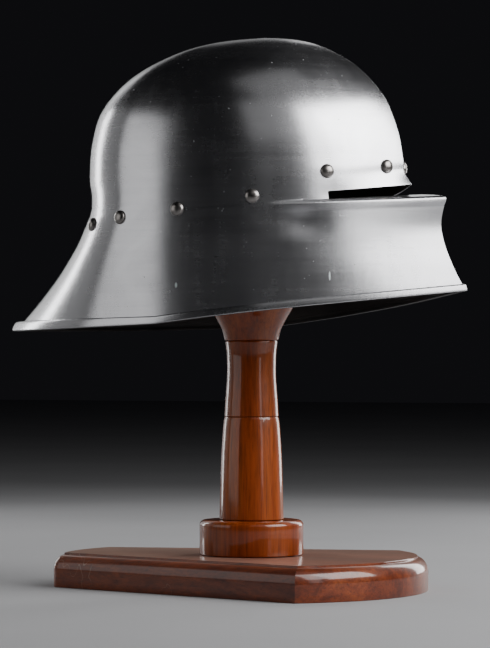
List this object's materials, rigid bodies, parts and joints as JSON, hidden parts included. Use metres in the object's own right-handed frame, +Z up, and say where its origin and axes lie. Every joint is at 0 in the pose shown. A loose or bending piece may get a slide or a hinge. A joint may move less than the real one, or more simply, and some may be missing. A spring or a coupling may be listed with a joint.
{
  "type": "sallet helmet on a turned wooden stand",
  "caption": "Steel sallet with a keeled skull, fixed eye slit, stepped pointed face plate and long flared tail, on a plain turned wooden stand with a moulded base.",
  "frame": {"origin": "on the floor under the stand, on the axis of its turned column", "axes": "+Z up, the helmet faces -Y, its middle plane is x = 0 and the wearer's left is +X"},
  "size_m": [0.2344, 0.4131, 0.4515],
  "materials": {
    "polished_steel": "satin polish with fine level rubbing marks",
    "rivet_steel": "polished domes",
    "varnished_wood": "glossy red-brown varnish over straight grain"
  },
  "bodies": {
    "root": {"helmet_shell": "polished_steel", "rivet_brow_right": "rivet_steel", "rivet_brow_left": "rivet_steel", "rivet_temple_right": "rivet_steel", "rivet_temple_left": "rivet_steel", "rivet_cheek_right": "rivet_steel", "rivet_cheek_left": "rivet_steel", "rivet_ear_right": "rivet_steel", "rivet_ear_left": "rivet_steel", "rivet_nape_right": "rivet_steel", "rivet_nape_left": "rivet_steel", "rivet_back_right": "rivet_steel", "rivet_back_left": "rivet_steel", "base_plate": "varnished_wood", "collar": "varnished_wood", "column_lower": "varnished_wood", "column_middle": "varnished_wood", "head_post": "varnished_wood"}
  },
  "joints": []
}
